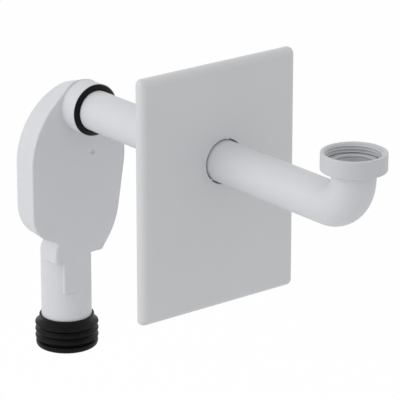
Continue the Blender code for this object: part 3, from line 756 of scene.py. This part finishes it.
def plate_outline(y, inset):
    """The plate's rounded rectangle at a depth, drawn in by an inset."""
    radius = PLATE_CORNER_R - (PLATE_CORNER_R - PLATE_FACE_CORNER_R) * inset / PLATE_EDGE_R
    half_x = PLATE_HALF[0] - inset - radius
    half_z = PLATE_HALF[1] - inset - radius
    points = []
    for turn, (side, up) in enumerate(((1, 1), (-1, 1), (-1, -1), (1, -1))):
        for i in range(EDGE_STEPS + 1):
            angle = math.pi / 2 * (turn + i / EDGE_STEPS)
            points.append(Vector((
                PLATE_MIDDLE[0] + side * half_x + radius * math.cos(angle), y,
                PLATE_MIDDLE[1] + up * half_z + radius * math.sin(angle))))
    return points


def make_plate():
    """Thin plate: face, turned-back rim, collar round the pipe and cross ribs behind."""
    back = PLATE_Y + PLATE_DEPTH
    inner = PLATE_Y + PLATE_WALL
    rings = [plate_outline(PLATE_Y + depth, inset) for inset, depth in quarter(PLATE_EDGE_R)]
    rings += [
        plate_outline(back - SOFT, 0), plate_outline(back, SOFT),
        plate_outline(back, PLATE_WALL - SOFT), plate_outline(back - SOFT, PLATE_WALL)]
    rings += [
        plate_outline(inner + depth, PLATE_WALL + inset)
        for inset, depth in reversed(quarter(PLATE_EDGE_R - PLATE_WALL))]
    plate = skin("wall_plate", rings)

    collar_end = inner + COLLAR_DEPTH
    collar = turned("collar", [
        (COLLAR_R, PLATE_Y + PLATE_WALL / 2), (COLLAR_R, collar_end - SOFT),
        (COLLAR_R - SOFT, collar_end)], PIPE_AXIS, Y, closed=False)
    half_x = PLATE_HALF[0] - PLATE_WALL + GAP
    half_z = PLATE_HALF[1] - PLATE_WALL + GAP
    rib_front = inner - GAP
    rib_back = inner + RIB_DEPTH
    half_t = RIB_T / 2
    level_rib = block("level_rib", (PLATE_MIDDLE[0] - half_x, rib_front, PIPE_Z - half_t),
                      (PLATE_MIDDLE[0] + half_x, rib_back, PIPE_Z + half_t))
    upright_rib = block("upright_rib", (PIPE_X - half_t, rib_front, PLATE_MIDDLE[1] - half_z),
                        (PIPE_X + half_t, rib_back + GAP, PLATE_MIDDLE[1] + half_z))
    combine(plate, "UNION", collar, level_rib, upright_rib)

    lip_y = collar_end - COLLAR_LIP_T
    hole = turned("hole", [
        (PLATE_HOLE_R + 1.3, PLATE_Y - 1), (PLATE_HOLE_R + SOFT, PLATE_Y),
        (PLATE_HOLE_R + 0.1, PLATE_Y + 0.1), (PLATE_HOLE_R, PLATE_Y + SOFT),
        (PLATE_HOLE_R, lip_y - COLLAR_LIP_SLOPE), (COLLAR_LIP_R, lip_y), (COLLAR_LIP_R, back)],
        PIPE_AXIS, Y, closed=False)
    combine(plate, "DIFFERENCE", hole)
    dress(plate, white_abs, "plate", "cover_plate")


def finish_dip_wall():
    """The water wall inside the drum keeps its solid shape and gets the drum's material."""
    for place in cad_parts["dip_wall"].material_slots:
        place.material = white_polypropylene


make_drum()
make_back_cover()
make_connector()
make_lip_seal()
make_pipe()
make_washer()
make_nut()
make_plate()
finish_dip_wall()


# Floor, light and camera, in metres

FLOOR_HALF = 9.0
FLOOR_Z = -0.32
FLOOR_COLOUR = "#F4F4F4"
FLOOR_GLOW = 1.03             # to the camera, which sees it as a white ground
FLOOR_GLOW_SHARE = 0.9        # the rest shows the trap's shadow
WORLD_STRENGTH = 0.69         # of its light on the trap
TRAP_MIDDLE = Vector((0, -0.16, 0.15))
CAMERA_PLACE = (-1.2357, -1.7349, 0.8657)
CAMERA_ACROSS = Vector((0.78413, -0.62060, 0)).normalized()
CAMERA_FORWARD = Vector((0.58590, 0.74029, -0.32969)).normalized()


def seen_directly(tree):
    """A socket that is 1 for the camera's rays and for reflected and refracted ones."""
    path = add(tree, "LightPath")
    first = add(tree, "Math", {"operation": "MAXIMUM"}, {
        0: path.outputs["Is Camera Ray"], 1: path.outputs["Is Glossy Ray"]})
    both = add(tree, "Math", {"operation": "MAXIMUM"}, {
        0: first.outputs[0], 1: path.outputs["Is Transmission Ray"]})
    return both.outputs[0]


def make_floor():
    """Pale floor well below the trap, which keeps a soft trace of its shadow."""
    mesh = bpy.data.meshes.new("floor")
    corners = [
        (x * FLOOR_HALF, y * FLOOR_HALF, FLOOR_Z) for x, y in ((-1, -1), (1, -1), (1, 1), (-1, 1))]
    mesh.from_pydata(corners, [], [(0, 1, 2, 3)])
    floor = bpy.data.objects.new("floor", mesh)
    bpy.context.scene.collection.objects.link(floor)
    material = bpy.data.materials.new("pale_painted_floor")
    material.use_nodes = True
    tree = material.node_tree
    shader = tree.nodes["Principled BSDF"]
    shader.inputs["Base Color"].default_value = linear(FLOOR_COLOUR)
    shader.inputs["Roughness"].default_value = 0.8
    glow = add(tree, "Emission", inputs={"Color": (1, 1, 1, 1), "Strength": FLOOR_GLOW})
    share = add(tree, "Math", {"operation": "MULTIPLY"}, {0: seen_directly(tree), 1: FLOOR_GLOW_SHARE})
    blend = add(tree, "MixShader", inputs={
        0: share.outputs[0], 1: shader.outputs[0], 2: glow.outputs[0]})
    tree.links.new(blend.outputs[0], tree.nodes["Material Output"].inputs["Surface"])
    mesh.materials.append(material)


def make_world():
    """Even white surroundings: white to the eye, and a soft light on the trap."""
    world = bpy.data.worlds.new("white_studio")
    bpy.context.scene.world = world
    world.use_nodes = True
    tree = world.node_tree
    level = add(tree, "MapRange", inputs={
        "Value": seen_directly(tree), "To Min": WORLD_STRENGTH, "To Max": 1.0})
    background = tree.nodes["Background"]
    background.inputs["Color"].default_value = (1, 1, 1, 1)
    tree.links.new(level.outputs["Result"], background.inputs["Strength"])


def make_softbox(name, direction, distance, size, power):
    """A square studio lamp that looks at the trap from a direction."""
    lamp = bpy.data.lights.new(name, "AREA")
    lamp.size = size
    lamp.energy = power
    box = bpy.data.objects.new(name, lamp)
    bpy.context.scene.collection.objects.link(box)
    towards = Vector(direction).normalized()
    box.location = TRAP_MIDDLE + distance * towards
    box.rotation_euler = towards.to_track_quat("Z", "Y").to_euler()
    box.visible_camera = False


def make_camera():
    """Camera at the photograph's angle."""
    camera = bpy.data.cameras.new("camera")
    camera.lens = 254.44
    camera.sensor_width = 36
    camera.clip_end = 50
    eye = bpy.data.objects.new("camera", camera)
    bpy.context.scene.collection.objects.link(eye)
    above = CAMERA_ACROSS.cross(CAMERA_FORWARD)
    turn = Matrix((CAMERA_ACROSS, above, -CAMERA_FORWARD)).transposed()
    eye.matrix_world = Matrix.Translation(CAMERA_PLACE) @ turn.to_4x4()
    bpy.context.scene.camera = eye


make_floor()
make_world()
make_softbox("left_softbox", direction=(-0.90, 0.26, 0.40), distance=1.02, size=0.8, power=3.0)
make_camera()
bpy.context.scene.view_settings.view_transform = "Standard"
